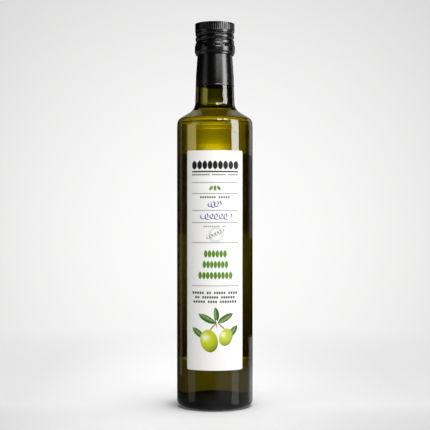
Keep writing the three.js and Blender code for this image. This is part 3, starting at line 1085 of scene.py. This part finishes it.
# %% Cloths behind the bottle
low_cloths = combine(tree, "MULTIPLY",
                     curve(tree, to_z, [(0.0, 0.0), (0.01, 1.0), (0.095, 1.0), (0.1, 0.0)]),
                     curve(tree, to_x, [(-0.66, 0.0), (-0.6, 0.3), (-0.3, 0.3), (-0.26, 0.0), (0.3, 0.0),
                                        (0.335, 1.0), (0.53, 1.0), (0.56, 0.0)]))
neck_cloth = combine(tree, "MULTIPLY",
                     curve(tree, to_z, [(0.095, 0.0), (0.1, 1.0), (0.14, 1.0), (0.16, 0.0)]),
                     curve(tree, to_x, [(-0.6, 0.0), (-0.5, 0.35), (-0.35, 0.4), (-0.3, 1.0), (-0.13, 1.0),
                                        (-0.09, 0.0)]))
cloths = combine(tree, "MULTIPLY", combine(tree, "ADD", low_cloths, neck_cloth),
                 curve(tree, to_y, [(0.2, 0.0), (0.5, 0.6)]))
patch = combine(tree, "MULTIPLY",
                curve(tree, to_z, [(0.055, 0.0), (0.06, 1.0), (0.0625, 1.0), (0.0655, 0.35), (0.069, 0.1),
                                   (0.072, 0.0)]),
                curve(tree, to_y, [(0.92, 0.0), (0.955, 0.1), (0.98, 0.4), (0.99, 0.66), (1.0, 1.0)]))
PATCH_LIGHT, ROOM_LIGHT = 1.35, 2.0
glow = combine(tree, "ADD", combine(tree, "MULTIPLY", patch, PATCH_LIGHT), cloths)
behind_glass = light(combine(tree, "ADD", through, glow), ROOM_LIGHT)

# %% [markdown]
# What the glass and the lacquer mirror is a dark room. A pale ceiling behind the bottle lights the slopes of
# the shoulder, and the lit table, stronger on the right, lies in the lower part of the curved surfaces.

# %% Mirrored room
ceiling = combine(tree, "MULTIPLY",
                  curve(tree, to_z, [(0.17, 0.0), (0.3, 0.62), (0.72, 0.62), (0.84, 0.06), (1.0, 0.03)]),
                  curve(tree, to_y, [(0.15, 0.0), (0.5, 1.0), (1.0, 1.0)]))
ceiling = combine(tree, "MULTIPLY", ceiling,
                  curve(tree, to_x, [(-0.4, 0.0), (-0.29, 0.7), (0.29, 0.8), (0.4, 0.0)]))
lit_table = combine(tree, "MULTIPLY", curve(tree, to_z, [(-0.3, 1.0), (-0.145, 1.0), (-0.13, 0.0)]),
                    curve(tree, to_x, [(-0.03, 0.08), (0.25, 1.0)]))
foot = combine(tree, "MULTIPLY", curve(tree, to_z, [(-1.0, 0.38), (-0.168, 0.36), (-0.158, 0.0)]),
               curve(tree, to_x, [(-0.7, 0.4), (0.1, 1.0)]))
floor_light = combine(tree, "MAXIMUM", combine(tree, "MULTIPLY", lit_table, 0.38), foot)
mirrored_room = light(combine(tree, "ADD", ceiling, floor_light), 1.0)

# %% Choosing by kind of ray
fill = light(curve(tree, to_z, [(-1.0, 0.35), (0.0, 0.35), (0.4, 0.42), (1.0, 0.64)]), 1.0)
reflected = combine(tree, "MULTIPLY", rays.outputs["Is Glossy Ray"], rays.outputs["Is Reflection Ray"])
room = choose(tree, reflected, fill, mirrored_room)
room = choose(tree, rays.outputs["Is Transmission Ray"], room, behind_glass)
room = choose(tree, rays.outputs["Is Camera Ray"], room, wall)
add_node(tree, "ShaderNodeOutputWorld", links={"Surface": room.outputs[0]})
print("room:", len(tree.nodes), "nodes")

# %% [markdown]
# ## The lights
# Each strip of light on the glass is the mirror image of a softbox or a card. On a round body its place
# across depends only on the azimuth of the card, and its length on the card's height, so every strip has a
# card of its own. Cards that stand behind the bottle are mirrored in its very edges. They light nothing
# matt. The paper and the cap's grain are lit by a key light on the right and a soft light from above, which
# the glass doesn't mirror. The key leaves out the table, or its shadow would be harder than the real one.


# %% Softbox
def softbox(name, azimuth, height, distance, width, tall, radiance, aim):
    """A rectangular light at an angle from the camera's side of the bottle, aimed at its axis."""
    turn = math.radians(azimuth)
    place = (distance * math.sin(turn), -distance * math.cos(turn), height)
    tip = math.atan2(aim - height, distance)
    bpy.ops.object.light_add(type="AREA", location=place)
    lamp = bpy.context.object
    lamp.name = name
    lamp.data.shape = "RECTANGLE"
    lamp.data.size = width
    lamp.data.size_y = tall
    lamp.data.energy = radiance * math.pi * width * tall
    lamp.rotation_euler = (math.radians(90) + tip, 0, turn)
    lamp.visible_camera = False
    lamp.visible_transmission = False
    return lamp


# %% Mirrored lights
# name, azimuth in degrees; in metres: height, distance, width and height of the light; radiance; aim
mirrored_lights = [
    softbox("softbox_right", 63, 0.30, 0.62, 0.28, 0.60, 12, aim=0.30),
    softbox("softbox_left", -73, 0.16, 0.62, 0.34, 0.28, 1.45, aim=0.16),
    softbox("softbox_left_neck", -60, 0.335, 0.62, 0.30, 0.07, 0.85, aim=0.335),
    softbox("softbox_left_upper", -62, 0.46, 0.62, 0.28, 0.18, 0.45, aim=0.46),
    softbox("softbox_right_foot", 63, -0.055, 0.62, 0.26, 0.09, 0.9, aim=-0.055),
    softbox("softbox_left_foot", -73, -0.05, 0.62, 0.30, 0.09, 0.4, aim=-0.05),
    softbox("softbox_top_right", 26, 0.56, 0.45, 0.30, 0.13, 15, aim=0.23),
    softbox("card_front_right", 29, 0.51, 0.62, 0.48, 0.20, 2.8, aim=0.42),
    softbox("card_right_behind_foot", 138, -0.07, 0.60, 0.30, 0.12, 0.5, aim=-0.07),
    softbox("card_right_behind", 138, 0.175, 0.60, 0.30, 0.11, 0.25, aim=0.175),
    softbox("card_right_behind_upper", 138, 0.37, 0.60, 0.30, 0.28, 0.7, aim=0.37),
    softbox("card_left_behind", -122.5, 0.14, 0.60, 0.14, 0.40, 0.27, aim=0.14),
]
for lamp in mirrored_lights:
    lamp.visible_diffuse = False

# %% Lights for the matt surfaces
key = softbox("key_right", 27, 0.50, 1.1, 0.6, 0.9, 6.0, aim=0.15)
top = softbox("soft_overhead", 60, 1.4, 0.28, 1.3, 1.3, 3.0, aim=0.0)
for lamp in (key, top):
    lamp.visible_glossy = False
not_the_table = bpy.data.collections.new("not_the_table")
not_the_table.objects.link(table)
not_the_table.collection_objects[0].light_linking.link_state = "EXCLUDE"
key.light_linking.receiver_collection = not_the_table
print(len(mirrored_lights), "mirrored lights, and two for the matt surfaces")
